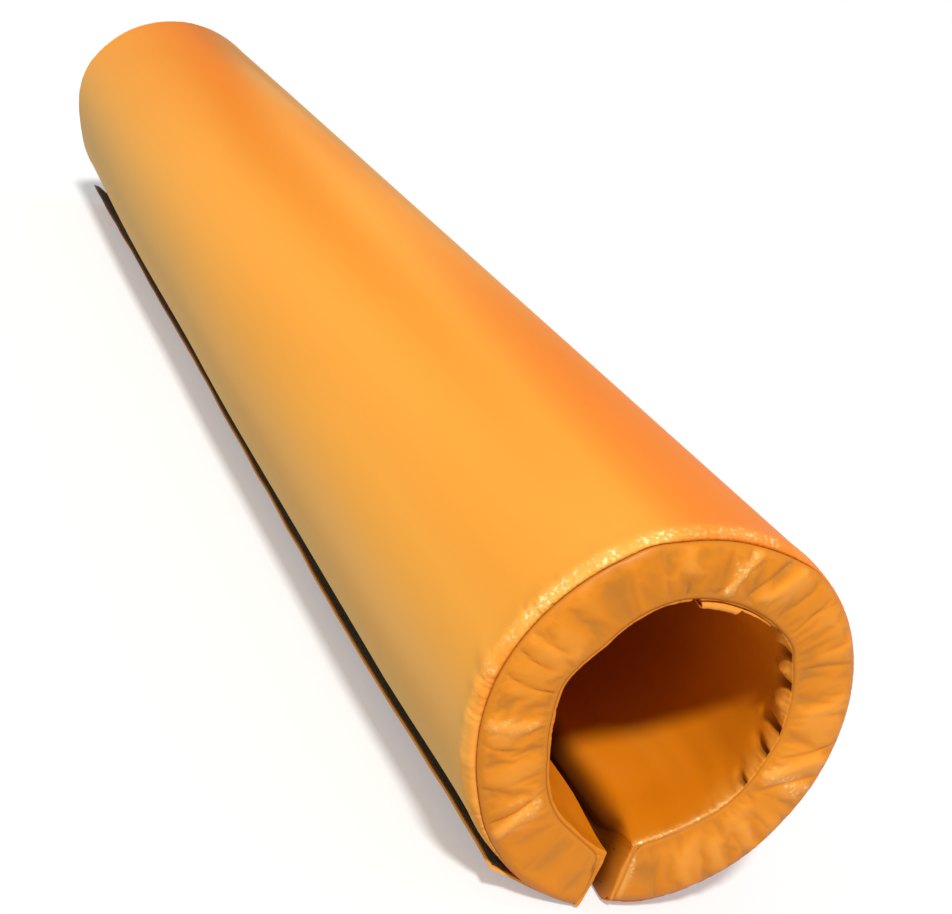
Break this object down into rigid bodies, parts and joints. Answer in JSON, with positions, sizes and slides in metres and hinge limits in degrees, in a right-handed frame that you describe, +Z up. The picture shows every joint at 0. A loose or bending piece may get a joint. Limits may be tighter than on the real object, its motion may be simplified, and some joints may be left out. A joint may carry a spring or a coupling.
{
  "type": "pole pad",
  "caption": "Split foam tube in a sewn coated-fabric cover that wraps round a goal post and closes along its slit with a hook-and-loop flap.",
  "frame": {"origin": "on the floor, under the middle of the tube, which lies with its slit down", "axes": "+Y along the tube, from the near end to the far end; +Z up, away from the slit; +X towards the lip that the flap is sewn to"},
  "size_m": [0.2638, 1.5, 0.2665],
  "materials": {
    "cover_fabric": "satin PVC-coated fabric",
    "lining_fabric": "satin PVC-coated fabric",
    "foam": "closed-cell foam",
    "closure_tape": "woven nylon hook-and-loop tape",
    "thread": "bonded polyester thread"
  },
  "bodies": {
    "root": {"foam_core": "foam", "outer_skin": "cover_fabric", "inner_lining": "lining_fabric", "near_end_cap": "cover_fabric", "far_end_cap": "cover_fabric", "left_lip_panel": "cover_fabric", "right_lip_panel": "cover_fabric", "loop_tape": "closure_tape", "flap_sewn_edge": "cover_fabric", "seam_allowance_fold": "lining_fabric", "near_outer_seam_thread": "thread", "near_inner_seam_thread": "thread", "far_outer_seam_thread": "thread", "far_inner_seam_thread": "thread", "left_lip_outer_thread": "thread", "left_lip_inner_thread": "thread", "right_lip_outer_thread": "thread", "right_lip_inner_thread": "thread", "loop_tape_lower_thread": "thread", "loop_tape_upper_thread": "thread", "flap_edge_thread_1": "thread", "flap_edge_thread_2": "thread"},
    "flap": {"closure_flap": "cover_fabric", "hook_tape": "closure_tape", "hook_tape_lower_thread": "thread", "hook_tape_upper_thread": "thread"}
  },
  "joints": [
    {"name": "flap_hinge", "type": "hinge", "parent": "root", "child": "flap", "pos_m": [0.01195, 0, 0], "axis": [0, -1, 0], "range_deg": [0, 170]}
  ]
}
